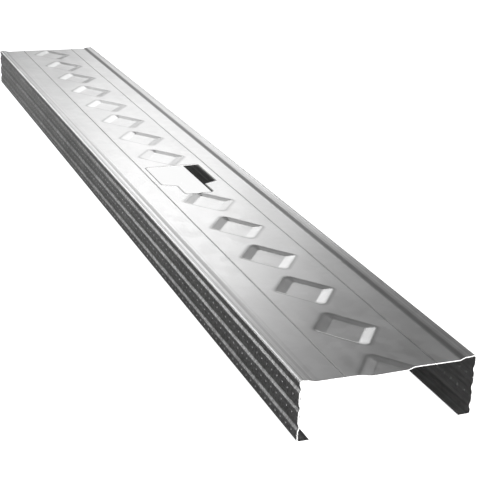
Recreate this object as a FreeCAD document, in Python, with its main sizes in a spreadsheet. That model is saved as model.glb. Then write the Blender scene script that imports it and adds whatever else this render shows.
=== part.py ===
import FreeCAD, Part
import math
import os
import Sketcher
from FreeCAD import Placement, Rotation, Vector

# A light-gauge steel stud: one strip of galvanised sheet, rolled into a C section.
# The part lies as it rests on a floor, web up, on the two inturned lips. X runs along the
# length, from the far end to the sawn near end, Y across the web, and Z up. The origin is
# on the floor, under the middle of the web. Everything is in millimetres.

os.makedirs("parts", exist_ok=True)
doc = FreeCAD.newDocument("steel_stud")

SIZES = [
    # the rolled section
    ("stud_length", 732.0, "from end to end"),
    ("web_width", 92.075, "outside width over the flanges"),
    ("flange_height", 31.75, "outside height from lip to web"),
    ("lip_width", 6.4, "outside width of each inturned lip"),
    ("sheet", 0.46, "thickness of the sheet"),
    ("bend_radius", 0.9, "inside radius of the four bends"),
    ("left_band", 4.2, "raised band beside the left web corner"),
    ("right_band", 6.1, "raised band beside the right web corner"),
    ("band_fall", 0.4, "how far a band falls towards its step"),
    ("left_step_run", 3.6, "width of the step beside the left band"),
    ("right_step_run", 2.8, "width of the step beside the right band"),
    ("step_radius", 1.6, "inside radius at a step's crest and foot"),
    ("web_drop", 1.5, "web face below the web corners"),
    # two fine score lines along the web
    ("left_score", 23.0, "from the left face of the stud"),
    ("right_score", 21.6, "from the right face of the stud"),
    ("score_width", 1.1, "width of a score line"),
    ("score_depth", 0.2, "depth of a score line"),
    # three rolled grooves along each flange
    ("groove_width", 4.4, "width of a flange groove"),
    ("groove_depth", 0.85, "depth of a flange groove"),
    ("groove_pitch", 9.8, "from groove to groove"),
    ("left_groove_top", 4.5, "first left groove below the web corner"),
    ("right_groove_top", 7.4, "first right groove below the web corner"),
    # slanted dimples pressed into the web
    ("first_dimple", 23.15, "first dimple from the far end"),
    ("dimple_pitch", 50.8, "from dimple to dimple"),
    ("dimple_length", 30.3, "along its long sides"),
    ("dimple_width", 23.2, "between its long sides"),
    ("dimple_turn", 36.5, "long sides from the stud's length, degrees"),
    ("dimple_lean", 17.0, "short sides out of square, degrees"),
    ("dimple_depth", 1.2, "depth of the floor"),
    ("dimple_side_run", 2.75, "slope below each long side"),
    ("dimple_end_run", 5.6, "slope below each short side"),
    ("dimple_rim_corner", 3.2, "corner radius at the rim"),
    ("dimple_floor_corner", 1.2, "corner radius at the floor"),
    # the punched service hole
    ("hole_start", 401.5, "from the far end to the hole"),
    ("hole_width", 38.1, "wide part, across the web"),
    ("hole_length", 38.6, "wide part, along the web"),
    ("shoulder_run", 4.6, "slope from the wide part to the tab"),
    ("tab_width", 19.05, "narrow part, across the web"),
    ("tab_length", 17.6, "narrow part, beyond the shoulder"),
    ("hole_corner", 2.4, "corner radius of the hole"),
]
GROOVES = 3

sizes = doc.addObject("Spreadsheet::Sheet", "sizes")
for row, (alias, value, note) in enumerate(SIZES, start=1):
    sizes.set("A%d" % row, note)
    sizes.set("B%d" % row, str(value))
    sizes.setAlias("B%d" % row, alias)
doc.recompute()

body = doc.addObject("PartDesign::Body", "stud")
body.Label = "stud"

# Heights and places that several features share, as expressions on the sheet.
HALF_WEB = "sizes.web_width / 2"
HALF_LENGTH = "sizes.stud_length / 2"
WEB_FACE = "(sizes.flange_height - sizes.web_drop)"


def size(alias):
    """The number that a cell of the sheet holds."""
    return float(sizes.get(alias))


def origin_plane(role):
    """One of the body's own origin planes."""
    return [item for item in body.Origin.OriginFeatures if item.Role == role][0]


def new_sketch(name, role, offset=("0", "0", "0"), turn="0"):
    """An empty sketch on an origin plane, moved and turned in that plane by expressions."""
    sketch = body.newObject("Sketcher::SketchObject", name)
    sketch.AttachmentSupport = [(origin_plane(role), "")]
    sketch.MapMode = "FlatFace"
    for axis, expression in zip("xyz", offset):
        if expression != "0":
            sketch.setExpression("AttachmentOffset.Base." + axis, expression)
    if turn != "0":
        sketch.AttachmentOffset = Placement(Vector(0, 0, 0), Rotation(Vector(0, 0, 1), 1))
        sketch.setExpression("AttachmentOffset.Rotation.Angle", turn)
    doc.recompute()
    return sketch


def number(owner, expression):
    """The value of an expression, as a plain number."""
    return float(FreeCAD.Units.Quantity(owner.evalExpression(expression)).Value)


def bind(sketch, constraint, expression):
    """Add a constraint whose value follows an expression."""
    index = sketch.addConstraint(constraint)
    sketch.setExpression("Constraints[%d]" % index, expression)


def outline(sketch, corners):
    """A closed outline of straight lines, every corner held by two expressions."""
    points = [Vector(number(sketch, a), number(sketch, b), 0) for a, b in corners]
    lines = []
    for index, point in enumerate(points):
        following = points[(index + 1) % len(points)]
        lines.append(sketch.addGeometry(Part.LineSegment(point, following), False))
    for index, line in enumerate(lines):
        following = lines[(index + 1) % len(lines)]
        sketch.addConstraint(Sketcher.Constraint("Coincident", line, 2, following, 1))
    for line, point, (a, b) in zip(lines, points, corners):
        bind(sketch, Sketcher.Constraint("DistanceX", -1, 1, line, 1, point.x), a)
        bind(sketch, Sketcher.Constraint("DistanceY", -1, 1, line, 1, point.y), b)
    doc.recompute()


def along_stud(kind, name, sketch):
    """Pad or Pocket a section over the whole length, evenly to both sides."""
    feature = body.newObject("PartDesign::" + kind, name)
    feature.Profile = sketch
    feature.setExpression("Length", "sizes.stud_length")
    feature.Midplane = True
    sketch.Visibility = False
    doc.recompute()
    return feature


def edges_where(feature, test):
    """The names of a feature's straight edges that pass a test on their two ends."""
    names = []
    for index, edge in enumerate(feature.Shape.Edges, start=1):
        if len(edge.Vertexes) == 2 and test(edge.Vertexes[0].Point, edge.Vertexes[1].Point):
            names.append("Edge%d" % index)
    return names


def fillet(name, base, names, radius):
    """Round the named edges of the last feature."""
    feature = body.newObject("PartDesign::Fillet", name)
    feature.Base = (base, names)
    feature.setExpression("Radius", radius)
    doc.recompute()
    return feature


# The section, without its grooves: lips, flanges, bands, steps and web, one sheet thick.
def half_section(side, sign):
    """Outer and inner corners of one half, from the lip's tip to the foot of the step."""
    band_edge = "%s - sizes.%s_band" % (HALF_WEB, side)
    step_foot = "%s - sizes.%s_step_run" % (band_edge, side)
    slope = "atan((sizes.web_drop - sizes.band_fall) / sizes.%s_step_run)" % side
    shift = "sizes.sheet * tan(%s / 2)" % slope
    edge = sign + HALF_WEB
    tip = "%s(%s - sizes.lip_width)" % (sign, HALF_WEB)
    inside = "%s(%s - sizes.sheet)" % (sign, HALF_WEB)
    band = "%s(%s)" % (sign, band_edge)
    band_below = "%s(%s + %s)" % (sign, band_edge, shift)
    foot = "%s(%s)" % (sign, step_foot)
    foot_below = "%s(%s + %s)" % (sign, step_foot, shift)
    outer = [
        (tip, "0"),
        (edge, "0"),
        (edge, "sizes.flange_height"),
        (band, "sizes.flange_height - sizes.band_fall"),
        (foot, WEB_FACE),
    ]
    inner = [
        (tip, "sizes.sheet"),
        (inside, "sizes.sheet"),
        (inside, "sizes.flange_height - sizes.sheet"),
        (band_below, "sizes.flange_height - sizes.band_fall - sizes.sheet"),
        (foot_below, WEB_FACE + " - sizes.sheet"),
    ]
    return outer, inner


right_outer, right_inner = half_section("right", "")
left_outer, left_inner = half_section("left", "-")
section = new_sketch("section", "YZ_Plane")
outline(section, right_outer + left_outer[::-1] + left_inner + right_inner[::-1])
rolled = along_stud("Pad", "rolled_section", section)

# The four bends and the two steps, rounded inside and outside about the same lines.
def rolled_round(name, base, corners, radius):
    """Round the long edges that run through some corners of the section."""
    places = [(number(section, across), number(section, height)) for across, height in corners]

    def at_corner(first, second):
        return abs(first.x - second.x) > size("stud_length") / 2 and any(
            abs(first.y - across) < 1e-4 and abs(first.z - height) < 1e-4
            for across, height in places)
    return fillet(name, base, edges_where(base, at_corner), radius)


outer_bends = rolled_round("outer_bends", rolled, right_outer[1:3] + left_outer[1:3],
                           "sizes.bend_radius + sizes.sheet")
inner_bends = rolled_round("inner_bends", outer_bends, right_inner[1:3] + left_inner[1:3],
                           "sizes.bend_radius")
crests = rolled_round("step_crests", inner_bends, [right_outer[3], left_outer[3]],
                      "sizes.step_radius + sizes.sheet")
under_crests = rolled_round("under_crests", crests, [right_inner[3], left_inner[3]],
                            "sizes.step_radius")
feet = rolled_round("step_feet", under_crests, [right_outer[4], left_outer[4]],
                    "sizes.step_radius")
rolled_round("under_feet", feet, [right_inner[4], left_inner[4]],
             "sizes.step_radius + sizes.sheet")

# The rolled flange grooves. Each one is added inside the flange as a ridge of the same
# shape, one sheet further in, and then cut from the outside, so that the sheet only bends.
Z_DOWN = [item for item in body.Origin.OriginFeatures if item.Role == "Z_Axis"][0]
X_ALONG = [item for item in body.Origin.OriginFeatures if item.Role == "X_Axis"][0]


def wedge(name, points):
    """A three-cornered section on the stud's cross plane."""
    sketch = new_sketch(name, "YZ_Plane")
    outline(sketch, points)
    return sketch


def flange_grooves(side, sign):
    """The grooves of one flange: a ridge, a cut and their pattern down the flange."""
    level = "sizes.flange_height - sizes.%s_groove_top" % side
    half = "sizes.groove_width / 2"
    face = "%s(%s)" % (sign, HALF_WEB)
    apex = "%s(%s - sizes.groove_depth)" % (sign, HALF_WEB)
    back = "%s(%s - sizes.sheet)" % (sign, HALF_WEB)
    back_apex = "%s(%s - sizes.sheet - sizes.groove_depth)" % (sign, HALF_WEB)
    ridge = along_stud("Pad", side + "_ridge", wedge(side + "_ridge_section", [
        (back, level + " + " + half),
        (back_apex, level),
        (back, level + " - " + half),
    ]))
    groove = along_stud("Pocket", side + "_groove", wedge(side + "_groove_section", [
        (face, level + " + " + half),
        (apex, level),
        (face, level + " - " + half),
    ]))
    row = body.newObject("PartDesign::LinearPattern", side + "_flange_grooves")
    row.Originals = [ridge, groove]
    row.Direction = (Z_DOWN, [""])
    row.Reversed = True
    row.setExpression("Length", "sizes.groove_pitch * %d" % (GROOVES - 1))
    row.Occurrences = GROOVES
    body.Tip = row
    doc.recompute()
    return row


flange_grooves("left", "-")
flange_grooves("right", "")

# The two score lines along the web, pressed down in the same way.
def score_line(side, sign):
    """One score line: the ridge below the web and the cut above it."""
    place = "%s(%s - sizes.%s_score)" % (sign, HALF_WEB, side)
    half = "sizes.score_width / 2"
    below = WEB_FACE + " - sizes.sheet"
    along_stud("Pad", side + "_score_ridge", wedge(side + "_score_ridge_section", [
        (place + " - " + half, below),
        (place, below + " - sizes.score_depth"),
        (place + " + " + half, below),
    ]))
    along_stud("Pocket", side + "_score_cut", wedge(side + "_score_cut_section", [
        (place + " - " + half, WEB_FACE),
        (place, WEB_FACE + " - sizes.score_depth"),
        (place + " + " + half, WEB_FACE),
    ]))


score_line("left", "-")
score_line("right", "")


# The dimples: rounded, slanted four-sided pans with sloping walls. A loft adds the pan's
# underside below the web, a second one of the same shape cuts its hollow one sheet higher.
def slanted_pan(name, height_expression, length, width, corner):
    """A rounded parallelogram about the dimple's centre, long sides along the sketch's X."""
    sketch = new_sketch(name, "XY_Plane",
                        ("sizes.first_dimple - " + HALF_LENGTH, "0", height_expression),
                        "sizes.dimple_turn")
    lean = math.radians(size("dimple_lean"))
    long_side = number(sketch, length) / 2
    half_width = number(sketch, width) / 2
    radius = number(sketch, corner)
    shift = half_width * math.tan(lean)
    corners = [Vector(-long_side - shift, half_width, 0), Vector(long_side - shift, half_width, 0),
               Vector(long_side + shift, -half_width, 0), Vector(-long_side + shift, -half_width, 0)]
    starts, ends, centres, reach = [], [], [], []
    for index, point in enumerate(corners):
        before = (corners[index - 1] - point).normalize()
        after = (corners[(index + 1) % 4] - point).normalize()
        half_angle = before.getAngle(after) / 2
        cut_back = radius / math.tan(half_angle)
        starts.append(point + before * cut_back)
        ends.append(point + after * cut_back)
        middle = (before + after).normalize()
        centres.append(point + middle * (radius / math.sin(half_angle)))
        reach.append(centres[-1] - middle * radius)
    lines = []
    arcs = []
    for index in range(4):
        arcs.append(sketch.addGeometry(Part.Arc(starts[index], reach[index], ends[index]), False))
        lines.append(sketch.addGeometry(
            Part.LineSegment(ends[index], starts[(index + 1) % 4]), False))
    for index in range(4):
        line, arc, following = lines[index], arcs[index], arcs[(index + 1) % 4]
        # The outline runs clockwise, so each arc ends where it starts on the page.
        sketch.addConstraint(Sketcher.Constraint("Tangent", arc, 1, line, 1))
        sketch.addConstraint(Sketcher.Constraint("Tangent", line, 2, following, 2))
        if index:
            sketch.addConstraint(Sketcher.Constraint("Equal", arcs[0], arc))
    sketch.addConstraint(Sketcher.Constraint("Horizontal", lines[0]))
    sketch.addConstraint(Sketcher.Constraint("Horizontal", lines[2]))
    sketch.addConstraint(Sketcher.Constraint("Parallel", lines[1], lines[3]))
    sketch.addConstraint(Sketcher.Constraint("Symmetric", arcs[0], 3, arcs[2], 3, -1, 1))
    bind(sketch, Sketcher.Constraint("Radius", arcs[0], radius), corner)
    bind(sketch, Sketcher.Constraint("DistanceY", arcs[2], 3, arcs[1], 3,
                                     2 * half_width - 2 * radius),
         "%s - 2 * (%s)" % (width, corner))
    bind(sketch, Sketcher.Constraint("DistanceX", arcs[0], 3, arcs[1], 3,
                                     centres[1].x - centres[0].x),
         "%s - 2 * (%s) / cos(sizes.dimple_lean)" % (length, corner))
    bind(sketch, Sketcher.Constraint("DistanceX", arcs[1], 3, arcs[2], 3,
                                     centres[2].x - centres[1].x),
         "(%s - 2 * (%s)) * tan(sizes.dimple_lean)" % (width, corner))
    doc.recompute()
    return sketch


def pan_loft(kind, name, top, bottom):
    """A loft from the dimple's rim to its floor."""
    loft = body.newObject("PartDesign::" + kind, name)
    loft.Profile = top
    loft.Sections = [bottom]
    loft.Ruled = True
    top.Visibility = False
    bottom.Visibility = False
    doc.recompute()
    return loft


FLOOR_LENGTH = "(sizes.dimple_length - 2 * sizes.dimple_end_run / cos(sizes.dimple_lean))"
FLOOR_WIDTH = "(sizes.dimple_width - 2 * sizes.dimple_side_run)"
RIM = ("sizes.dimple_length", "sizes.dimple_width", "sizes.dimple_rim_corner")
FLOOR = (FLOOR_LENGTH, FLOOR_WIDTH, "sizes.dimple_floor_corner")
underside = WEB_FACE + " - sizes.sheet"
pan = pan_loft(
    "AdditiveLoft", "dimple_pan",
    slanted_pan("pan_rim", underside, *RIM),
    slanted_pan("pan_floor", underside + " - sizes.dimple_depth", *FLOOR))
hollow = pan_loft(
    "SubtractiveLoft", "dimple_hollow",
    slanted_pan("hollow_rim", WEB_FACE, *RIM),
    slanted_pan("hollow_floor", WEB_FACE + " - sizes.dimple_depth", *FLOOR))

# The row runs on past the near end, which the saw cut through a dimple, so it holds every
# dimple whose rim starts before that end.
turn = math.radians(size("dimple_turn"))
half_reach = size("dimple_length") / 2 * math.cos(turn) + size("dimple_width") / 2 * math.sin(turn)
room = size("stud_length") - size("first_dimple") + half_reach - 2 * size("dimple_rim_corner")
dimple_count = max(1, int(room / size("dimple_pitch")) + 1)
dimples = body.newObject("PartDesign::LinearPattern", "dimple_row")
dimples.Originals = [pan, hollow]
dimples.Direction = (X_ALONG, [""])
dimples.setExpression("Length", "sizes.dimple_pitch * %d" % (dimple_count - 1))
dimples.Occurrences = dimple_count
body.Tip = dimples
doc.recompute()

# The service hole takes the place of one dimple: a wide part towards the far end, sloping
# shoulders, and a narrow tab towards the near end.
hole = new_sketch("service_hole", "XY_Plane", ("sizes.hole_start - " + HALF_LENGTH, "0", "0"))
SHOULDER = "sizes.hole_length + sizes.shoulder_run"
TAB_END = SHOULDER + " + sizes.tab_length"
outline(hole, [
    ("0", "sizes.hole_width / 2"),
    ("sizes.hole_length", "sizes.hole_width / 2"),
    (SHOULDER, "sizes.tab_width / 2"),
    (TAB_END, "sizes.tab_width / 2"),
    (TAB_END, "-sizes.tab_width / 2"),
    (SHOULDER, "-sizes.tab_width / 2"),
    ("sizes.hole_length", "-sizes.hole_width / 2"),
    ("0", "-sizes.hole_width / 2"),
])
before_hole = dimples.Shape.Volume
punch = body.newObject("PartDesign::Pocket", "punched_hole")
punch.Profile = hole
punch.Type = "ThroughAll"
punch.Reversed = True
hole.Visibility = False
doc.recompute()
if punch.Shape.Volume > before_hole - 1.0:
    raise RuntimeError("the service hole cuts nothing")

hole_from = size("hole_start") - size("stud_length") / 2
hole_to = hole_from + size("hole_length") + size("shoulder_run") + size("tab_length")
upright = edges_where(punch, lambda first, second: (
    abs(first.x - second.x) < 1e-4 and abs(first.y - second.y) < 1e-4
    and abs(abs(first.z - second.z) - size("sheet")) < 1e-4
    and hole_from - 0.01 < first.x < hole_to + 0.01
    and abs(first.y) < size("hole_width") / 2 + 0.01))
fillet("hole_corners", punch, upright, "sizes.hole_corner")

# The saw cut at the near end takes off what the last dimple adds beyond it.
trim = new_sketch("saw_cut", "XY_Plane", (HALF_LENGTH, "0", "0"))
outline(trim, [
    ("0", "sizes.web_width"),
    ("sizes.dimple_pitch + sizes.dimple_length", "sizes.web_width"),
    ("sizes.dimple_pitch + sizes.dimple_length", "-sizes.web_width"),
    ("0", "-sizes.web_width"),
])
saw = body.newObject("PartDesign::Pocket", "near_end")
saw.Profile = trim
saw.Type = "ThroughAll"
saw.Reversed = True
trim.Visibility = False
body.Tip = saw
doc.recompute()

# Nothing is written until every feature has built.
for item in doc.Objects:
    if "Invalid" in item.State or "Error" in item.State:
        raise RuntimeError("%s did not build: %s" % (item.Name, item.State))
for part in [body]:
    shape = part.Shape
    if shape.isNull() or not shape.isValid():
        raise RuntimeError("%s has no valid shape" % part.Label)
    box = shape.BoundBox
    print("%s: %d solid, %.1f x %.1f x %.1f mm, %.0f mm3, %d faces" % (
        part.Label, len(shape.Solids), box.XLength, box.YLength, box.ZLength,
        shape.Volume, len(shape.Faces)))
    shape.exportStep("parts/%s.step" % part.Label)
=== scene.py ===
# %% [markdown]
# A light-gauge steel stud, the kind that stands inside a plasterboard wall. It is one strip
# of galvanised sheet, less than half a millimetre thick, that a row of rollers folds into
# a C. Everything that catches the light on it was pressed into the sheet while it moved:
# long grooves, a step beside each corner, small dents and slanted dimples.
#
# The lesson follows the factory. A thin skin comes first, with no thickness, because every
# press mark is easy to put into a skin. The skin then gets the thickness of the sheet, is
# punched, and its edges are made crisp. The first cell loads the measured model.

# %% The measured model
import math

import bmesh
import bpy
from mathutils import Matrix, Vector
from mathutils.geometry import delaunay_2d_cdt


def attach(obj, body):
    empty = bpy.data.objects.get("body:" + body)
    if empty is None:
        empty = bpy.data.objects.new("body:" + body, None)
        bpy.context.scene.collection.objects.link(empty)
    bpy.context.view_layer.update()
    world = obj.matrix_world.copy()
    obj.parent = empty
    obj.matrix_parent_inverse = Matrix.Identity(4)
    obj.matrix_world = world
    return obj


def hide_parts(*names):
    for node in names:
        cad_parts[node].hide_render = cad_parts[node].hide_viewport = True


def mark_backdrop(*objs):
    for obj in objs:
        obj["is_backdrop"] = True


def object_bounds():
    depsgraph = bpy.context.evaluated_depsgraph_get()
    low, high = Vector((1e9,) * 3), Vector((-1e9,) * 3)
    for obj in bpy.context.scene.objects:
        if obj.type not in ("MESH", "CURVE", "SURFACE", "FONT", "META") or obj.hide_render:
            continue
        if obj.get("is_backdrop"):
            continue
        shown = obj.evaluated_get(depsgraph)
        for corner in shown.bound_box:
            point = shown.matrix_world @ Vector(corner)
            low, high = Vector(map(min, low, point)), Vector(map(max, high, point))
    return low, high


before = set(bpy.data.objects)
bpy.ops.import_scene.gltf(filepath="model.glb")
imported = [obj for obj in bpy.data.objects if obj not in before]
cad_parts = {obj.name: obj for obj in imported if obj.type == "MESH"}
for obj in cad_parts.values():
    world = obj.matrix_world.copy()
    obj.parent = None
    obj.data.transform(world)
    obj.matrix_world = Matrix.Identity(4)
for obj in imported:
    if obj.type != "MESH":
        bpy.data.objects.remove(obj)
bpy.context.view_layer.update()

# %% [markdown]
# The sizes of the real stud, in millimetres, as its maker would give them. Blender works
# in metres, so one factor turns them over. X runs along the stud, with the sawn end at
# the high side, Y runs across it with the right side high, and Z is up.
#
# A band is the raised strip beside a corner, a step leads from it down to the web, and
# a score is a shallow line along the web. The grooves run along the flanges and are counted
# down from the top. The two sides aren't alike, so some sizes are given for each by name.
# A bend's size is the radius inside it.

# %% The stud's own sizes
MM = 0.001
SIGN = {"left": -1, "right": 1}
LENGTH, WIDTH, HEIGHT = 732.0, 92.075, 31.75
LIP, SHEET, BEND = 6.4, 0.46, 0.9
BAND = {"left": 4.2, "right": 6.1}
STEP_RUN = {"left": 3.6, "right": 2.8}
BAND_FALL, WEB_DROP = 0.4, 1.5
SCORES = {"left": 23.0, "right": 21.6}
SCORE_WIDTH, SCORE_DEPTH = 1.1, 0.2
GROOVE_WIDTH, GROOVE_DEPTH, GROOVE_PITCH = 4.4, 0.85, 9.8
GROOVE_TOP = {"left": 4.5, "right": 7.4}
FIRST_DIMPLE, DIMPLE_PITCH = 23.15, 50.8
WEB = HEIGHT - WEB_DROP
HALF = WIDTH / 2
print("web face at", WEB, "mm, half the width", HALF, "mm")

# %% [markdown]
# A press roll leaves its marks once each turn. One turn makes one dimple and eight dents,
# so all pressed rows share one pitch, and start half a pitch before the first dimple. The
# service hole is a square window with a narrower tab, and slanted shoulders between them:
# its stations along the stud are its two ends and the two ends of the shoulders.

# %% The rounds of the press and the hole's stations
ROUNDS, DENTS_PER_ROUND = 15, 8
DENT_PITCH = DIMPLE_PITCH / DENTS_PER_ROUND
START = FIRST_DIMPLE - DIMPLE_PITCH / 2 - LENGTH / 2
HOLE_START, HOLE_WIDTH, HOLE_LENGTH = 401.5, 38.1, 38.6
SHOULDER, TAB_WIDTH, TAB_LENGTH, HOLE_CORNER = 4.6, 19.05, 17.6, 2.4
HOLE_ENDS = [HOLE_START - LENGTH / 2 + far for far in (
    0, HOLE_LENGTH, HOLE_LENGTH + SHOULDER, HOLE_LENGTH + SHOULDER + TAB_LENGTH)]
print("first round starts at x =", START, "and the hole's stations are", HOLE_ENDS)

# %% [markdown]
# Three small classes keep node trees readable. `Tree` adds a node from its type, its
# settings and its inputs, in one call, and hands back a `Node`. `Wire` is what comes out of
# a node, and it knows the signs of arithmetic, so that a mask can be written as `1 - mask`
# or `mask * 0.3`, as on paper.

# %% Node trees written as sums
class Wire:
    """What comes out of a node: numbers that may change over the surface."""

    def __init__(self, tree, socket):
        self.tree, self.socket = tree, socket

    def maths(self, operation, first, second=0.0):
        inputs = {0: first, 1: second}
        return self.tree.node("ShaderNodeMath", {"operation": operation}, inputs).out()

    def __add__(self, other):
        return self.maths("ADD", self, other)

    def __sub__(self, other):
        return self.maths("SUBTRACT", self, other)

    def __rsub__(self, other):
        return self.maths("SUBTRACT", other, self)

    def __mul__(self, other):
        return self.maths("MULTIPLY", self, other)

    def __pow__(self, other):
        return self.maths("POWER", self, other)

    def __abs__(self):
        return self.maths("ABSOLUTE", self)

    def most(self, other):
        return self.maths("MAXIMUM", self, other)

    def least(self, other):
        return self.maths("MINIMUM", self, other)

    def ramp(self, low, high):
        """Runs smoothly from 0 to 1 while this goes from low to high."""
        return self.tree.node(
            "ShaderNodeMapRange", {"interpolation_type": "SMOOTHSTEP"},
            {0: self, 1: low, 2: high, 3: 0.0, 4: 1.0}).out()

    __radd__ = __add__
    __rmul__ = __mul__


class Node:
    """A node that has been placed, with its outputs as wires."""

    def __init__(self, tree, made):
        self.tree, self.made = tree, made

    def out(self, place=0):
        return Wire(self.tree, self.made.outputs[place])


class Tree:
    """A node tree, filled one call a node."""

    def __init__(self, made):
        self.made = made

    def node(self, kind, settings=None, inputs=None):
        made = self.made.nodes.new(kind)
        for name, value in (settings or {}).items():
            setattr(made, name, value)
        for place, value in (inputs or {}).items():
            if isinstance(value, Wire):
                self.made.links.new(value.socket, made.inputs[place])
            else:
                made.inputs[place].default_value = value
        return Node(self, made)

    def point(self, x=0.0, y=0.0, z=0.0):
        """A place or a shift, from its three numbers."""
        return self.node("ShaderNodeCombineXYZ", {}, {0: x, 1: y, 2: z}).out()

    def parts(self, point):
        """The three numbers of a place."""
        made = self.node("ShaderNodeSeparateXYZ", {}, {0: point})
        return made.out(0), made.out(1), made.out(2)

    def finish(self, last, end):
        """Joins the last node to the tree's output."""
        self.made.links.new(last.out().socket, end.made.inputs[0])


print("tree helpers ready")

# %% [markdown]
# A geometry tree becomes a modifier with named inputs, such as a pitch and a count. Once
# its result is right, it is kept as a plain mesh and the modifier goes, so that the piece
# holds nothing that a later program may not know. The inputs are set by the identifier of
# their sockets, because two sockets may share a name.

# %% Geometry trees with named inputs
def geometry_tree(name, **inputs):
    """A new geometry tree, the wires of its inputs, and its output node."""
    made = bpy.data.node_groups.new(name, "GeometryNodeTree")
    kinds = {int: "NodeSocketInt", float: "NodeSocketFloat",
             bpy.types.Material: "NodeSocketMaterial"}
    for way in ("INPUT", "OUTPUT"):
        made.interface.new_socket("Geometry", in_out=way, socket_type="NodeSocketGeometry")
    for label, kind in inputs.items():
        made.interface.new_socket(label, in_out="INPUT", socket_type=kinds[kind])
    tree = Tree(made)
    source = tree.node("NodeGroupInput")
    wires = {label: source.out(label) for label in inputs}
    wires["Geometry"] = source.out("Geometry")
    return tree, wires, tree.node("NodeGroupOutput")


def add_piece(name, data):
    """Puts a new object in the scene."""
    made = bpy.data.objects.new(name, data)
    bpy.context.collection.objects.link(made)
    return made


def plain_mesh(piece):
    """The mesh that a piece's modifiers make of it."""
    evaluated = piece.evaluated_get(bpy.context.evaluated_depsgraph_get())
    return bpy.data.meshes.new_from_object(evaluated)


def grow(piece, tree, name, **values):
    """Runs a geometry tree on a piece and gives back the result as a plain mesh object."""
    modifier = piece.modifiers.new(tree.made.name, "NODES")
    modifier.node_group = tree.made
    for item in tree.made.interface.items_tree:
        if item.in_out == "INPUT" and item.name in values:
            modifier[item.identifier] = values[item.name]
    mesh = plain_mesh(piece)
    mesh.name = name
    bpy.data.objects.remove(piece)
    return add_piece(name, mesh)


print("geometry helpers ready")

# %% [markdown]
# The finishes come before the shapes, because a tree ends by naming its material. Zinc on
# a rolled stud is a grey mirror gone dull: all of what it shows is reflection, softened by
# a fine grain. A photograph of zinc could be wrapped round it, but it would smear at the
# bends and show its own pixels close up. So a finish here is a formula of the place on the
# piece, and a few helpers keep the formulas short.

# %% What every finish needs
def new_finish(name):
    """A material with an empty tree, and the wire of the place on the piece."""
    made = bpy.data.materials.new(name)
    made.use_nodes = True
    made.node_tree.nodes.clear()
    tree = Tree(made.node_tree)
    return made, tree, tree.node("ShaderNodeTexCoord").out("Object")


def close_finish(tree, shader):
    tree.node("ShaderNodeOutputMaterial", {}, {0: shader.out()})


def stretched(tree, place, scale):
    """The same place with each axis multiplied, for a pattern that is longer one way."""
    return tree.node("ShaderNodeVectorMath", {"operation": "MULTIPLY"}, {0: place, 1: scale}).out()


def noise(tree, place, scale=1.0, detail=2.0, roughness=0.5):
    """A cloudy pattern from 0 to 1; the scale says how many clouds a metre holds."""
    return tree.node("ShaderNodeTexNoise", {"noise_dimensions": "3D"}, {
        "Vector": place, "Scale": scale, "Detail": detail, "Roughness": roughness}).out(0)


def grey(value):
    return (value, value, value, 1)


def between(tree, share, first, second):
    """A colour that goes from the first to the second as the share goes from 0 to 1."""
    return tree.node("ShaderNodeMix", {"data_type": "RGBA"}, {0: share, 6: first, 7: second}).out(2)


def swing(pattern, amount):
    """A pattern as a change up and down from nothing, by half the amount each way."""
    return (pattern - 0.5) * amount


print("finish helpers ready")

# %% [markdown]
# Zinc has marks of its own, which know nothing of the stud's shape. Handling leaves cloudy
# places that shine less. The crystals, called the spangle, make faint lighter and darker
# patches. Rolling leaves long streaks, and very fine drawn lines beside the corners. Side
# rollers leave the flanks mottled. Each is one pattern, made long where the mark is long,
# and the masks of the next cell keep the drawn lines and the mottle in their places.

# %% The zinc's own patterns
zinc, paint, place = new_finish("zinc_sheet")
clouds = noise(paint, place, scale=18.0, detail=3.0)
grain = noise(paint, place, scale=900.0)
streaks = noise(paint, stretched(paint, place, (3.0, 160.0, 160.0)), detail=3.0)
drawn = noise(paint, stretched(paint, place, (2.0, 800.0, 800.0)), detail=1.0)
mottle = noise(paint, place, scale=650.0, roughness=0.6)
spangle = paint.node("ShaderNodeTexVoronoi", {"feature": "SMOOTH_F1"},
                     {"Vector": place, "Scale": 170.0, "Smoothness": 0.3})
patch = paint.node("ShaderNodeSeparateColor", {}, {0: spangle.out("Color")}).out(0)
print("zinc patterns:", len(zinc.node_tree.nodes), "nodes")

# %% [markdown]
# Other marks follow the stud's lines. Where rollers fold or score the sheet, at the steps,
# the left crown and the score lines, the zinc is painted darker: painted shade for the light
# those creases trap, with a little real roughened zinc in them. Everything from the right
# band's edge outwards is painted a little darker as painted shade, and a thin dark line is
# painted round the hole. These masks could be painted by hand, but worked out from the
# stud's sizes they stay in place when a size changes. A crease is a line along the stud.
# The hole's rim comes from a distance: how far a place lies outside the window and its
# shoulders, or outside the tab, whichever is nearer. Two masks have no simple formula and
# come in attributes that later cells write: how near a point is to a dimple's rim, where
# painted shade runs round it, and how squarely a face looks out to the side. A flank is
# what looks nearly straight out, and the drawn lines begin where the stiff edge of the web
# does.

# %% Masks that follow the stud's lines
FLANK_FROM, FLANK_TO = 0.72, 0.92
DRAWN_FROM, DRAWN_TO = 11.0, 8.0
along, sideways, _ = paint.parts(place)
from_middle = abs(sideways)


def crease(middle, reach):
    """A mask that is 1 on a line along the stud and 0 from a reach to either side."""
    return abs(sideways - middle * MM).ramp(reach * MM, reach * 0.25 * MM)


def box_gap(near, far, half):
    """How far a place lies outside a box with rounded corners, in metres."""
    middle, reach = (near + far) / 2, (far - near) / 2 - HOLE_CORNER
    over_along = (abs(along - middle * MM) - reach * MM).most(0)
    over_side = (from_middle - (half - HOLE_CORNER) * MM).most(0)
    return (over_along * over_along + over_side * over_side) ** 0.5 - HOLE_CORNER * MM


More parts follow.
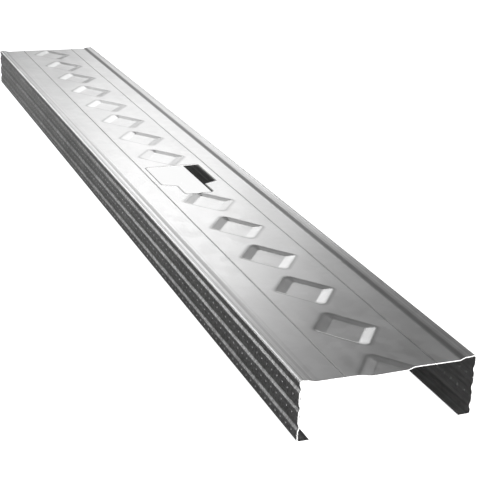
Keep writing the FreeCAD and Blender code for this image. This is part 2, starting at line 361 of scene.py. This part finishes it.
def shoulder_gap():
    """How far a place lies beyond the slanted line of the hole's shoulders, in metres."""
    rise, run = SHOULDER, (HOLE_WIDTH - TAB_WIDTH) / 2
    beyond = (along - HOLE_ENDS[1] * MM) * run + (from_middle - HOLE_WIDTH / 2 * MM) * rise
    return beyond * (1 / math.hypot(rise, run))


def attribute(name):
    return paint.node("ShaderNodeAttribute", {"attribute_name": name}).out("Fac")


window_gap = box_gap(HOLE_ENDS[0], HOLE_ENDS[2], HOLE_WIDTH / 2).most(shoulder_gap())
hole_gap = window_gap.least(box_gap(HOLE_ENDS[0], HOLE_ENDS[3], TAB_WIDTH / 2))
right_edge = HALF - BAND["right"]
flank = attribute("flank").ramp(FLANK_FROM, FLANK_TO)
beside_corner = from_middle.ramp((HALF - DRAWN_FROM) * MM, (HALF - DRAWN_TO) * MM)
print("zinc masks:", len(zinc.node_tree.nodes), "nodes")

# %% [markdown]
# Now the zinc is mixed. The darkened places come first, each a mask, in millimetres where it
# has a width, with how dark it is at its darkest, from 0 to 1. The creases, the right band
# and the dimples' rims are painted shade, the hole's rim is a painted dark line, and the
# flanks' mottle is the zinc's own. Clean zinc is a grey that swings a little with its
# patterns. Its dullness and its relief follow the same patterns, because what shades real
# zinc also roughens it.

# %% The zinc finish
# Painted shade: the steps, the left crown, the score lines, the right band and the dimples' rims
# are painted darker for the shade they hold, the folds with a little real roughened zinc; the hole
# gets a thin painted dark line; the flanks' mottle is the zinc's own.
PAINTED_SHADE_AND_MOTTLE = {
    "right step": (crease(right_edge - STEP_RUN["right"] / 2, 1.9), 0.8),
    "left step": (crease(BAND["left"] + 1.4 - HALF, 1.6), 0.32),
    "left crown": (crease(2.0 - HALF, 0.5), 0.35),
    "left score": (crease(SCORES["left"] - HALF, 0.8), 0.45),
    "right score": (crease(HALF - SCORES["right"], 0.8), 0.45),
    "hole rim": (hole_gap.ramp(1.1 * MM, 0.5 * MM), 0.95),
    "right band": (sideways.ramp((right_edge - 0.8) * MM, right_edge * MM), 0.22),
    "dimple rims": (attribute("pan_rim"), 0.45),
    "flanks": (mottle.ramp(0.42, 0.62) * flank, 0.42),
}
# The painted shade and the flanks' mottle, added up into one darkening.
shade_and_mottle = sum(mask * strength for mask, strength in PAINTED_SHADE_AND_MOTTLE.values())
tone = (0.5 + swing(clouds, 0.8) + swing(patch, 0.18) + swing(streaks, 0.25)
        + swing(drawn, 1.6) * beside_corner)
fresh = between(paint, tone, grey(0.64), grey(0.94))
dullness = 0.33 + swing(clouds, 0.10) + swing(patch, 0.05) + swing(streaks, 0.06)
relief = clouds * 0.5 + streaks * 0.04 + grain * 0.012 + mottle * flank * 0.3
bump = paint.node("ShaderNodeBump", {}, {
    "Strength": 0.35, "Distance": 0.6 * MM, "Height": relief})
close_finish(paint, paint.node("ShaderNodeBsdfPrincipled", {}, {
    # Painted shade and mottle pull the clean zinc towards a dark grey.
    "Base Color": between(paint, shade_and_mottle, fresh, grey(0.12)), "Metallic": 1.0,
    "Roughness": dullness, "Normal": bump.out()}))
print("zinc:", len(zinc.node_tree.nodes), "nodes, rubbed at", list(PAINTED_SHADE_AND_MOTTLE))

# %% [markdown]
# Where the sheet was slit, punched or sawn there is no zinc. The bare steel shows as
# a thin bright line, with fine scratches from the blade across it.

# %% The bare cut edge
bare, paint, place = new_finish("cut_edge")
scratches = noise(paint, stretched(paint, place, (1.0, 900.0, 900.0)))
edge_tone = between(paint, scratches, (0.72, 0.72, 0.71, 1), (0.95, 0.95, 0.94, 1))
bump = paint.node("ShaderNodeBump", {}, {
    "Strength": 0.4, "Distance": 0.1 * MM, "Height": scratches})
close_finish(paint, paint.node("ShaderNodeBsdfPrincipled", {}, {
    "Base Color": edge_tone, "Metallic": 0.15, "Roughness": 0.42 + scratches * 0.1,
    "Normal": bump.out()}))
print("cut edge:", len(bare.node_tree.nodes), "nodes")

# %% [markdown]
# The section of the stud is a line that bends: along a lip, up a flange, over the band
# and the step to the web, and down the other side. A roller can't fold a sharp corner, so
# every corner of the line is rounded. `rounded` takes the corners and the radius of each,
# and returns points close enough together to look smooth.

# %% Rounding the corners of a line
def rounded(corners, pieces=4):
    """Points along a line whose corners (across, up, radius) are rounded."""
    points = []
    for index, (across, up, radius) in enumerate(corners):
        here = Vector((across, up))
        if radius == 0.0 or index in (0, len(corners) - 1):
            points.append(here)
            continue
        before = (Vector(corners[index - 1][:2]) - here).normalized()
        after = (Vector(corners[index + 1][:2]) - here).normalized()
        half_angle = before.angle(after) / 2
        reach = radius / math.tan(half_angle)
        centre = here + (before + after).normalized() * (radius / math.sin(half_angle))
        first, last = here + before * reach - centre, here + after * reach - centre
        swept = math.atan2(first.x * last.y - first.y * last.x, first.dot(last))
        for step in range(pieces + 1):
            points.append(centre + Matrix.Rotation(swept * step / pieces, 2) @ first)
    return points


print(len(rounded([(0, 0, 0), (10, 0, 2), (10, 10, 0)])), "points round one corner")

# %% [markdown]
# Up the flange the line meets three grooves, each a soft notch. The flat strips between
# them are pressed with dents later, so the section leaves them out: it is drawn as several
# runs, and each strip's two edges are kept. A strip stops a little way from the groove
# beside it, and one that would be too narrow for a dent stays a part of its run.

# %% The flanges, in runs and strips
OUTER_BEND = BEND + SHEET
GROOVE_FOOT_BEND, GROOVE_APEX_BEND = 2.2, 2.0
MARGIN, LEAST_STRIP = 0.45, 3.0


def flange(side):
    """Runs and strips of one flange, and the line's last stretch, from the lip's tip up."""
    face, apex = SIGN[side] * HALF, SIGN[side] * (HALF - GROOVE_DEPTH)
    runs, strips = [], []
    line = [(SIGN[side] * (HALF - LIP), 0, 0), (face, 0, OUTER_BEND)]
    for count in (2, 1, 0):
        centre = HEIGHT - GROOVE_TOP[side] - GROOVE_PITCH * count
        below, foot = line[-1][1], centre - GROOVE_WIDTH / 2
        if foot - below > LEAST_STRIP:
            low, high = max(below + MARGIN, OUTER_BEND), foot - MARGIN
            strips.append((side, (face, low), (face, high)))
            runs.append(rounded(line + [(face, low, 0)]))
            line = [(face, high, 0)]
        line += [(face, foot, GROOVE_FOOT_BEND), (apex, centre, GROOVE_APEX_BEND),
                 (face, centre + GROOVE_WIDTH / 2, GROOVE_FOOT_BEND)]
    return runs, strips, line


for side in SIGN:
    print(side, "flange:", len(flange(side)[1]), "strips for dents")

# %% [markdown]
# From the flange's top the line goes over the crown of the band, which is nearly level,
# falls to the band's edge, and comes down the step to the web. The web is flat as far as
# the score line, a shallow notch. Between the two score lines lies the pressed panel with
# the dimples, which is left out here as the strips were.

# %% The web, up to the pressed panel
CORNER_SAG, CROWN_SAG, CROWN_BEND = 0.05, 0.12, 0.6
CROWN, CROWN_FOOT, CROWN_FOOT_RISE = 1.9, 2.6, 0.1
STEP_BEND, FREE_WEB = 2.0, 15.5
SCORE_SLOPE, SCORE_BEND = 0.5, 0.2


def web_half(side):
    """The corners of one half of the web, from the flange's top to the pressed panel."""
    top = HEIGHT - BAND_FALL
    edge = HALF - BAND[side]
    score = HALF - SCORES[side]
    line = [(HALF, HEIGHT - CORNER_SAG, OUTER_BEND),
            (HALF - CROWN, HEIGHT - CROWN_SAG, CROWN_BEND),
            (HALF - CROWN_FOOT, top + CROWN_FOOT_RISE, CROWN_BEND),
            (edge, top, STEP_BEND),
            (edge - STEP_RUN[side], WEB, STEP_BEND),
            (HALF - FREE_WEB, WEB, 0),
            (score + SCORE_WIDTH / 2, WEB, 0),
            (score + SCORE_SLOPE, WEB, SCORE_BEND),
            (score, WEB - SCORE_DEPTH, SCORE_BEND),
            (score - SCORE_SLOPE, WEB, SCORE_BEND),
            (score - SCORE_WIDTH / 2, WEB, 0)]
    return [(SIGN[side] * across, up, radius) for across, up, radius in line]


runs, strips = [], []
for side in SIGN:
    made, flats, line = flange(side)
    runs += made + [rounded(line + web_half(side))]
    strips += flats
print(len(runs), "runs,", sum(len(r) for r in runs), "points,", len(strips), "strips for dents")

# %% [markdown]
# Rolling is a sweep: the same section at every place along the stud. Geometry Nodes has
# a node for this, Curve to Mesh, which carries the section along a line. The line is
# divided at the pitch of the dents, so that pressed strips meet it point to point. The
# node turns a section half round on its way, so the section is drawn turned half round.

# %% Sweeping the section along the stud
def section_curve(name, lines):
    """The runs of the section as straight-sided splines, across and up."""
    curve = bpy.data.curves.new(name, "CURVE")
    curve.dimensions = "3D"
    for points in lines:
        spline = curve.splines.new("POLY")
        spline.points.add(len(points) - 1)
        for point, (across, up) in zip(spline.points, points):
            point.co = (-across * MM, -up * MM, 0, 1)
    return add_piece(name, curve)


tree, given, end = geometry_tree("rolling", Start=float, Stretch=float, Rounds=int,
                                 Finish=bpy.types.Material)
rail = tree.node("GeometryNodeMeshLine", {"mode": "OFFSET"}, {
    "Count": given["Rounds"] + 1, "Start Location": tree.point(given["Start"]),
    "Offset": tree.point(given["Stretch"])})
rail = tree.node("GeometryNodeMeshToCurve", {}, {0: rail.out()})
rail = tree.node("GeometryNodeSetCurveNormal", {"mode": "Z_UP"}, {0: rail.out()})
swept = tree.node("GeometryNodeCurveToMesh", {}, {0: rail.out(), 1: given["Geometry"]})
swept = tree.node("GeometryNodeSetMaterial", {}, {0: swept.out(), "Material": given["Finish"]})
tree.finish(swept, end)

skin = [grow(section_curve("rolled", runs), tree, "rolled", Start=START * MM,
             Stretch=DENT_PITCH * MM, Rounds=ROUNDS * DENTS_PER_ROUND, Finish=zinc)]
print("rolled", len(skin[0].data.polygons), "faces")

# %% [markdown]
# A press roll has one punch that comes round again and again, so it leaves the same mark
# at an even pitch. One tile of sheet with one mark in it is modelled, and a second tree
# sets it down in a row. The tile's left and right edges have the same points, so the
# tiles close up when points that lie on each other are merged.

# %% A row of pressed tiles
MERGE = 0.02


def shape(name, points, faces):
    """A piece from its points, in millimetres, and its faces."""
    mesh = bpy.data.meshes.new(name)
    mesh.from_pydata([Vector(point) * MM for point in points], [], faces)
    return add_piece(name, mesh)


row_tree, given, end = geometry_tree("press_row", Start=float, Pitch=float, Count=int,
                                     Finish=bpy.types.Material)
places = row_tree.node("GeometryNodeMeshLine", {"mode": "OFFSET"}, {
    "Count": given["Count"], "Start Location": row_tree.point(given["Start"]),
    "Offset": row_tree.point(given["Pitch"])})
row = row_tree.node("GeometryNodeInstanceOnPoints", {}, {
    "Points": places.out(), "Instance": given["Geometry"]})
row = row_tree.node("GeometryNodeRealizeInstances", {}, {0: row.out()})
row = row_tree.node("GeometryNodeMergeByDistance", {}, {0: row.out(), "Distance": MERGE * MM})
row = row_tree.node("GeometryNodeSetMaterial", {}, {0: row.out(), "Material": given["Finish"]})
row_tree.finish(row, end)
print("row tree:", len(row_tree.made.nodes), "nodes")

# %% [markdown]
# The dents stiffen the flange and stop a screw's point from skating. Each is a small
# round pit, one every eighth of the dimples' pitch. There are several hundred, so one has
# only a few faces: a ring of eight round the rim, a smaller and deeper ring, and a bottom.
# How high a row sits is a share of its strip, counted from the lip's side, because not all
# rows run down the middle of their strips.

# %% The dents
DENT_RADIUS, DENT_DEPTH, DENT_SIDES = 0.9, 0.7, 8
DENT_RINGS = ((1.0, 0.0), (0.5, 0.8))
DENT_RISE = (0.7, 0.64, 0.5, 0.5, 0.5)


def dent_tile(low, high, rise):
    """One pit in a strip between two edges of the flange, each given as (across, up)."""
    low, high = Vector(low), Vector(high)
    tall = (high - low).length
    half = DENT_PITCH / 2
    flat = [Vector(c) for c in ((-half, 0), (half, 0), (half, tall), (-half, tall))]
    down = [0.0] * len(flat)
    middle = Vector((0, tall * rise))
    for size, deep in DENT_RINGS:
        for step in range(DENT_SIDES):
            turn = math.tau * (step + 0.5) / DENT_SIDES
            flat.append(middle + Vector((math.cos(turn), math.sin(turn))) * DENT_RADIUS * size)
            down.append(DENT_DEPTH * deep)
    flat.append(middle)
    down.append(DENT_DEPTH)
    made = delaunay_2d_cdt(flat, [], [], 0, 1e-5)
    upward = (high - low).normalized()
    inward = Vector((-upward.y, upward.x))
    if inward.x * low.x > 0:
        inward = -inward
    points = []
    for point, source in zip(made[0], made[3]):
        spot = low + upward * point.y + inward * down[source[0]]
        points.append((point.x, spot.x, spot.y))
    return points, made[2]


for number, (side, low, high) in enumerate(strips):
    name = "dents_%s_%d" % (side, number)
    dent = shape(name, *dent_tile(low, high, DENT_RISE[number]))
    skin.append(grow(dent, row_tree, name, Start=(START + DENT_PITCH / 2) * MM,
                     Pitch=DENT_PITCH * MM, Count=ROUNDS * DENTS_PER_ROUND, Finish=zinc))
    print(name, len(skin[-1].data.polygons), "faces")

# %% [markdown]
# The dimples are slanted pans with sloping walls and soft rims. The outline is a leaning
# rectangle, turned on the web, with rounded corners; a run is how far a wall slopes inwards
# below a long or a short side. Every outline has the same number of points in the same
# order, so that rings of them can be joined face to face.

# %% The outline of a dimple
LONG, BROAD, TURN, LEAN, DEPTH = 30.3, 23.2, 36.5, 17.0, 1.2
SIDE_RUN, END_RUN, RIM_CORNER, FLOOR_CORNER = 2.75, 5.6, 3.2, 1.2


def pan_outline(long, broad, radius, per_corner=5, per_side=4):
    """A slanted four-sided outline with rounded corners, in points round the dimple."""
    shift = broad / 2 * math.tan(math.radians(LEAN))
    corners = [Vector((-long / 2 - shift, broad / 2)), Vector((-long / 2 + shift, -broad / 2)),
               Vector((long / 2 + shift, -broad / 2)), Vector((long / 2 - shift, broad / 2))]
    arcs = []
    for index, corner in enumerate(corners):
        line = [(*corners[index - 1], 0), (*corner, radius), (*corners[(index + 1) % 4], 0)]
        arcs.append(rounded(line, per_corner)[1:-1])
    points = []
    for index, arc in enumerate(arcs):
        following = arcs[(index + 1) % 4][0]
        points += arc
        points += [arc[-1].lerp(following, step / per_side) for step in range(1, per_side)]
    turn = Matrix.Rotation(math.radians(TURN), 2)
    return [turn @ point for point in points]


rim = pan_outline(LONG, BROAD, RIM_CORNER)
floor = pan_outline(LONG - 2 * END_RUN / math.cos(math.radians(LEAN)), BROAD - 2 * SIDE_RUN,
                    FLOOR_CORNER)
print(len(rim), "points round a dimple")

# %% [markdown]
# A press can't make a sharp rim in sheet: the steel starts to bend before the wall and
# flattens again after it. So the pan is a set of rings, from outside the rim to the flat
# floor, and the depth of each ring follows that bend. A ring's place is a share of the way
# from rim to floor. Long sides have short slopes and short sides have long ones, which is
# why the rings run closer along the long sides. The outer rings are flat: they are there
# to carry the painted shade round the rim.

# %% The rings of a dimple
BEND_REACH = 0.12
RING_PLACES = (-0.5, -0.28, -0.12, -0.07, -0.02, 0.03, 0.08, 0.12, 0.37, 0.63, 0.88, 0.92,
               0.97, 1.02, 1.07, 1.12)


def wall(place):
    """How deep the sheet is, from 0 on the web to 1 on the floor, with soft bends."""
    for edge, sign in ((0.0, 1.0), (1.0, -1.0)):
        if abs(place - edge) < BEND_REACH:
            bent = (place - edge + sign * BEND_REACH) ** 2 / (4 * BEND_REACH)
            return edge + sign * bent
    return min(max(place, 0.0), 1.0)


rings = [[(a.lerp(b, share), wall(share)) for a, b in zip(rim, floor)] for share in RING_PLACES]
print(len(rings), "rings, at depths of", [round(ring[0][1] * DEPTH, 2) for ring in rings], "mm")

# %% [markdown]
# Round the dimple lies the flat panel between the two score lines. Its four edges carry
# points at the pitch of the dents, so they meet the swept section. Between the edges and
# the first ring, and inside the last ring, the faces are filled in by a triangulation
# that keeps the edges it is given.

# %% The panel round a dimple
ROWS_ACROSS = 8
low_edge = -HALF + SCORES["left"] + SCORE_WIDTH / 2
high_edge = HALF - SCORES["right"] - SCORE_WIDTH / 2


def inside(place, outline):
    """Whether a place lies within a closed outline."""
    crossings = 0
    for index, point in enumerate(outline):
        other = outline[index - 1]
        if (point.y > place.y) != (other.y > place.y):
            reach = (place.y - point.y) / (other.y - point.y) * (other.x - point.x) + point.x
            crossings += place.x < reach
    return crossings % 2 == 1


def wall_faces():
    """The four-sided faces between each ring and the next."""
    count = len(rim)
    faces = []
    for ring in range(len(rings) - 1):
        for step in range(count):
            following = (step + 1) % count
            a, b = ring * count, (ring + 1) * count
            faces.append((a + step, a + following, b + following, b + step))
    return faces


def panel_grid():
    """Points over the whole tile, in even columns and rows."""
    places = []
    for column in range(DENTS_PER_ROUND + 1):
        for row in range(ROWS_ACROSS + 1):
            x = (column / DENTS_PER_ROUND - 0.5) * DIMPLE_PITCH
            y = low_edge + (high_edge - low_edge) * row / ROWS_ACROSS
            places.append(Vector((x, y)))
    return places


def panel_tile():
    """The tile of web that holds one dimple."""
    points = [(place.x, place.y, WEB - DEPTH * deep) for ring in rings for place, deep in ring]
    faces = wall_faces()
    outer = [place for place, _ in rings[0]]
    inner = [place for place, _ in rings[-1]]
    centre = inner[0].lerp(inner[len(inner) // 2], 0.5)
    loop = [(step, (step + 1) % len(rim)) for step in range(len(rim))]
    for outline, extra, height, keep_inside in (
            (outer, panel_grid(), WEB, False), (inner, [centre], WEB - DEPTH, True)):
        made = delaunay_2d_cdt(outline + extra, loop, [], 0, 1e-5)
        start = len(points)
        points += [(place.x, place.y, height) for place in made[0]]
        for face in made[2]:
            middle = sum((made[0][index] for index in face), Vector((0, 0))) / len(face)
            if inside(middle, outline) == keep_inside:
                faces.append(tuple(start + index for index in face))
    return points, faces


panel = shape("panel", *panel_tile())
print("one panel:", len(panel.data.polygons), "faces")

# %% [markdown]
# A thin line of painted shade runs round each dimple's rim, where the sheet bends. How near
# a point is to the rim goes into an attribute, a number that the mesh carries at each point
# and that the zinc finish reads. Then the panel is set down once for each round of the press.

# %% Painted shade round the rims, and the row of dimples
RIM_SHADE_MIDDLE, RIM_SHADE_REACH = -0.1, 0.3
# Painted shade: a line just outside each dimple's rim, strongest there and fading to either side,
# which the zinc finish paints darker.
painted_dark = panel.data.attributes.new("pan_rim", "FLOAT", "POINT")
for number, share in enumerate(share for share in RING_PLACES for _ in rim):
    painted_dark.data[number].value = max(0.0, 1.0 - abs(share - RIM_SHADE_MIDDLE) / RIM_SHADE_REACH)
skin.append(grow(panel, row_tree, "panel", Start=(FIRST_DIMPLE - LENGTH / 2) * MM,
                 Pitch=DIMPLE_PITCH * MM, Count=ROUNDS, Finish=zinc))
print("panel", len(skin[-1].data.polygons), "faces")

# %% [markdown]
# The strips and the swept runs now become one skin. Points that lie on each other are
# merged, the skin is cut off square at both ends, where the saw took the last dimple in
# half, and all faces are turned outwards.

# %% One skin
whole = bmesh.new()
for piece in skin:
    whole.from_mesh(piece.data)
    bpy.data.objects.remove(piece)
bmesh.ops.remove_doubles(whole, verts=whole.verts, dist=MERGE * MM)
for side in (-1, 1):
    bmesh.ops.bisect_plane(whole, geom=[*whole.verts, *whole.edges, *whole.faces],
                           dist=0.1 * MERGE * MM, plane_co=(side * LENGTH / 2 * MM, 0, 0),
                           plane_no=(side, 0, 0), clear_outer=True)
bmesh.ops.recalc_face_normals(whole, faces=whole.faces)
largest = max(whole.faces, key=lambda face: face.calc_area() * abs(face.normal.z))
if largest.normal.z < 0:
    bmesh.ops.reverse_faces(whole, faces=whole.faces)
for face in whole.faces:
    face.smooth = True
    face.material_index = 0
open_edges = [edge for edge in whole.edges if edge.is_boundary]
ends = sum(1 for e in open_edges if e.verts[0].co.x == e.verts[1].co.x)
print(len(whole.faces), "faces,", len(open_edges), "open edges,", ends, "of them at the ends")
mesh = bpy.data.meshes.new("stud_skin")
whole.to_mesh(mesh)
whole.free()

# %% [markdown]
# A wide thin web never stays dead flat. It hangs a little between the stiff steps, and
# the sheet keeps a faint wave from the coil and the rollers, which shows only because zinc
# reflects. A third tree moves the web's points by a smooth noise with a fixed seed, less
# and less towards the steps, where the sheet is stiff. The waves are longer along the stud
# than across it, and the flanges are left alone, because they lie below the web.

# %% The sheet's faint waves
wave_tree, given, end = geometry_tree("sheet_waves", Depth=float, Patch=float, Stiff=float,
                                      Seed=float)
here = wave_tree.node("GeometryNodeInputPosition").out()
along, sideways, upward = wave_tree.parts(here)
free = abs(sideways).ramp(given["Stiff"], given["Stiff"] * 0.75)
on_web = upward.ramp((WEB - 3.0) * MM, (WEB - 2.0) * MM)
wave = wave_tree.node("ShaderNodeTexNoise", {"noise_dimensions": "4D"}, {
    "Vector": wave_tree.point(along * 0.6, sideways), "W": given["Seed"],
    "Scale": given["Patch"], "Detail": 1.0}).out(0)
lift = swing(wave, given["Depth"]) * free * on_web
waved = wave_tree.node("GeometryNodeSetPosition", {}, {
    0: given["Geometry"], "Offset": wave_tree.point(z=lift)})
wave_tree.finish(waved, end)

stud = grow(add_piece("stud_skin", mesh), wave_tree, "galvanised_stud", Depth=0.9 * MM,
            Patch=28.0, Stiff=(HALF - 9.0) * MM, Seed=4.0)
print("waves on", len(stud.data.vertices), "points")

# %% [markdown]
# Solidify gives the skin the thickness of the sheet, inwards, and closes the cut edges
# with a strip of their own, which takes the second material. Thickness grows square to
# the skin, which leans in the half dimple, so both ends are made flat again.

# %% The thickness of the sheet
def keep_result(piece):
    """Makes a piece's modifiers part of its mesh."""
    mesh = plain_mesh(piece)
    piece.modifiers.clear()
    piece.data = mesh


def square_ends(piece):
    """Puts the rim of both ends, and whatever stands past it, on the saw's plane."""
    end = LENGTH / 2 * MM
    for face in piece.data.polygons:
        corners = [piece.data.vertices[index] for index in face.vertices]
        if face.material_index == 1 and all(abs(c.co.x) > (LENGTH / 2 - 1) * MM for c in corners):
            for corner in corners:
                corner.co.x = math.copysign(end, corner.co.x)
    for point in piece.data.vertices:
        point.co.x = min(max(point.co.x, -end), end)


stud.data.materials.clear()
for finish in (zinc, bare):
    stud.data.materials.append(finish)
thick = stud.modifiers.new("sheet", "SOLIDIFY")
thick.thickness = SHEET * MM
thick.offset = -1.0
thick.use_even_offset = True
thick.material_offset_rim = 1
keep_result(stud)
square_ends(stud)
print("thick stud:", len(stud.data.polygons), "faces")

# %% [markdown]
# The service hole is the one that electricians pull cables through. It is punched as in
# the factory, by a die: a prism of the hole's outline is subtracted from the sheet, and
# the wall that it leaves takes the cut edge's finish from the die.

# %% The service hole
DIE_ABOVE, DIE_TALL = 3.0, 8.0


def die_shape(top, tall):
    """A prism with the outline of the service hole, every corner rounded."""
    half = [(HOLE_ENDS[0], HOLE_WIDTH / 2), (HOLE_ENDS[1], HOLE_WIDTH / 2),
            (HOLE_ENDS[2], TAB_WIDTH / 2), (HOLE_ENDS[3], TAB_WIDTH / 2)]
    corners = half + [(x, -y) for x, y in half[::-1]]
    outline = []
    for index, corner in enumerate(corners):
        line = [(*corners[index - 1], 0), (*corner, HOLE_CORNER),
                (*corners[(index + 1) % len(corners)], 0)]
        outline += rounded(line, 6)[1:-1]
    count = len(outline)
    points = [(p.x, p.y, level) for level in (top - tall, top) for p in outline]
    sides = [(i, (i + 1) % count, count + (i + 1) % count, count + i) for i in range(count)]
    return points, sides + [tuple(range(count))[::-1], tuple(range(count, 2 * count))]


die = shape("hole_punch", *die_shape(WEB + DIE_ABOVE, DIE_TALL))
outwards = bmesh.new()
outwards.from_mesh(die.data)
bmesh.ops.recalc_face_normals(outwards, faces=outwards.faces)
outwards.to_mesh(die.data)
outwards.free()
for finish in (zinc, bare):
    die.data.materials.append(finish)
for face in die.data.polygons:
    face.material_index = 1
cut = stud.modifiers.new("service_hole", "BOOLEAN")
cut.operation, cut.object, cut.solver = "DIFFERENCE", die, "EXACT"
keep_result(stud)
bpy.data.objects.remove(die)
print("punched stud:", len(stud.data.polygons), "faces,",
      sum(len(face.vertices) - 2 for face in stud.data.polygons), "triangles,",
      sum(1 for face in stud.data.polygons if face.material_index == 1), "of cut edge")

# %% [markdown]
# Last comes the shading. Rounded places are smooth and cut edges are crisp: an edge
# between faces that turn more than forty degrees is marked sharp. A Weighted Normal pass
# then lets the large flat faces decide how a rounding runs into them, so that the flats
# look flat. The finished normals also say which faces look out to the side, and that goes
# into the attribute by which the zinc knows its flanks.

# %% Crisp edges
stud.data.shade_smooth()
stud.data.set_sharp_from_angle(angle=math.radians(40))
weighted = stud.modifiers.new("flat_faces", "WEIGHTED_NORMAL")
weighted.mode, weighted.keep_sharp = "FACE_AREA", True
keep_result(stud)

flanks = stud.data.attributes.new("flank", "FLOAT", "CORNER")
for corner in stud.data.loops:
    facing = stud.data.corner_normals[corner.index].vector
    outward = facing.y * stud.data.vertices[corner.vertex_index].co.y
    flanks.data[corner.index].value = max(0.0, outward / (HALF * MM))

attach(stud, "root")
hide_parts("stud")
print(stud.name, "rides on root")

# %% [markdown]
# The stage is a light table, as for a catalogue picture: a white floor that glows evenly,
# so that it shows hardly any shadow. Its glow would wash the sides of the metal out, so
# the metal mirrors a dark grey card in its place, a little lighter towards the far end.

# %% The floor
TABLE, FLOOR_DROP, CARD_DROP = 8000.0, 0.2, 0.4


def slab(name, drop, finish):
    """A flat square a little below the stud's feet, so that nothing touches."""
    half = TABLE / 2
    corners = [(x * half, y * half, -drop) for x, y in ((-1, -1), (1, -1), (1, 1), (-1, 1))]
    made = shape(name, corners, [(0, 1, 2, 3)])
    made.data.materials.append(finish)
    return made


def glowing(tree, matt, colour, strength):
    """Ends a finish as a matt grey surface with a glow of its own."""
    face = tree.node("ShaderNodeBsdfDiffuse", {}, {0: grey(matt)})
    glow = tree.node("ShaderNodeEmission", {}, {0: colour, 1: strength})
    close_finish(tree, tree.node("ShaderNodeAddShader", {}, {0: face.out(), 1: glow.out()}))


floor_finish, paint, place = new_finish("light_table")
glowing(paint, 0.9, grey(1), 0.93)
table_top = slab("floor", FLOOR_DROP, floor_finish)
table_top.visible_glossy = table_top.visible_diffuse = False

card_finish, paint, place = new_finish("grey_card")
along, _, _ = paint.parts(place)
glowing(paint, 0.05, between(paint, along.ramp(-0.4, 0.3), grey(0.13), grey(0.06)), 1.0)
card = slab("card_in_the_metal", CARD_DROP, card_finish)
card.visible_camera = card.visible_shadow = False
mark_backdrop(table_top, card)
print("floor laid")

# %% [markdown]
# A smooth piece of metal looks like what it faces, so the lamps are soft panels placed
# where the metal mirrors them. They stand close, on a ring of 0.8 m round the middle of
# the stud, because a near lamp slides over a long mirror: the web shines where it faces
# the bright panels and fades at the near end, where it looks over their top edge. Each
# panel is given as a stage hand would: its turn from the far end, its height, how wide
# and tall it looks, all in degrees, and how bright its face is.

# %% A soft panel
RING, MIDDLE = 0.8, (0, 0, 0.03)


def panel_lamp(name, turn, height, wide, tall, glow, distance=RING, target=MIDDLE):
    """A soft panel at a turn from the far end and a height, facing the stud."""
    turn, height = math.radians(turn), math.radians(height)
    lamp = bpy.data.lights.new(name, "AREA")
    lamp.shape = "RECTANGLE"
    lamp.size = 2 * distance * math.cos(height) * math.tan(math.radians(wide) / 2)
    lamp.size_y = 2 * distance * math.tan(math.radians(tall) / 2)
    lamp.energy = glow * math.pi * lamp.size * lamp.size_y
    made = add_piece(name, lamp)
    made.location = Vector((-math.cos(height) * math.cos(turn), math.cos(height) * math.sin(turn),
                            math.sin(height))) * distance
    facing = Vector(target) - made.location
    made.rotation_euler = facing.to_track_quat("-Z", "Y").to_euler()


print("a panel stands", RING, "m from the stud's middle")

# %% [markdown]
# Most panels stand beyond the far end, like a pale wall with a window in it, because that
# is what the web mirrors towards the camera. Two weak ones hang higher, over the stud, and
# one to each side lights what leans that way. A strong low one beyond the near end lights
# what faces the camera, such as the cut edge.

# %% Lamps
panel_lamp("right_low", 28, 4, 35, 10, 0.8)
panel_lamp("right_wall", 24, 14, 43, 10, 0.65)
panel_lamp("window_low", 11, 23, 16, 8, 1.6)
panel_lamp("window_low_middle", 23, 23, 8, 8, 1.2)
panel_lamp("window_low_right", 36, 23, 19, 8, 0.65)
panel_lamp("window_high", 19, 31, 16, 8, 2.5)
panel_lamp("window_high_right", 31, 31, 8, 8, 1.2)
panel_lamp("left_window", -31, 38, 36, 22, 1.8)
panel_lamp("left_window_low", -27, 23, 22, 8, 2.3)
panel_lamp("left_wall", -16, 14, 20, 10, 1.25)
panel_lamp("middle_wall", -10, 20, 9, 8, 2.4)
panel_lamp("left_low", -60, 4, 46, 10, 2.5)
panel_lamp("over", -5, 42, 15, 14, 0.65)
panel_lamp("over_high", -15, 58, 32, 18, 0.65)
panel_lamp("right_side", 68, 27, 16, 16, 1.0)
panel_lamp("front", 165, 8, 50, 14, 20.0, distance=1.2, target=(0.3, 0, 0.03))
world = bpy.data.worlds.new("studio")
bpy.context.scene.world = world
world.use_nodes = True
world.node_tree.nodes["Background"].inputs[0].default_value = grey(0.149)

# %% [markdown]
# The camera stands beyond the near end, a little to its left and well above it, with
# a long lens. Its place, aim and roll were worked out from where the stud's corners stand
# in the picture.

# %% Camera
FILM_WIDTH, FOCAL_LENGTH = 36.0, 90.28
CAMERA_PLACE = (805.9, -253.04, 280.39)
CAMERA_AIM, CAMERA_UP = (-0.86974, 0.34666, -0.35127), (-0.34015, 0.09463, 0.9356)
lens = bpy.data.cameras.new("camera")
lens.sensor_width, lens.lens = FILM_WIDTH, FOCAL_LENGTH
lens.clip_start, lens.clip_end = 0.05, 30.0
camera = add_piece("camera", lens)
forward = Vector(CAMERA_AIM).normalized()
upright = Vector(CAMERA_UP)
upright = (upright - forward * upright.dot(forward)).normalized()
aim = Matrix((forward.cross(upright), upright, -forward)).transposed()
camera.matrix_world = Matrix.Translation(Vector(CAMERA_PLACE) * MM) @ aim.to_4x4()
bpy.context.scene.camera = camera
bpy.context.scene.view_settings.view_transform = "Standard"
print("camera at", [round(v, 3) for v in camera.location])

# %% [markdown]
# The finished stud has to keep the measured size, so its box is printed.

# %% Size and finish
low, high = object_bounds()
print("built box", [round(v, 5) for v in (*low, *high)])
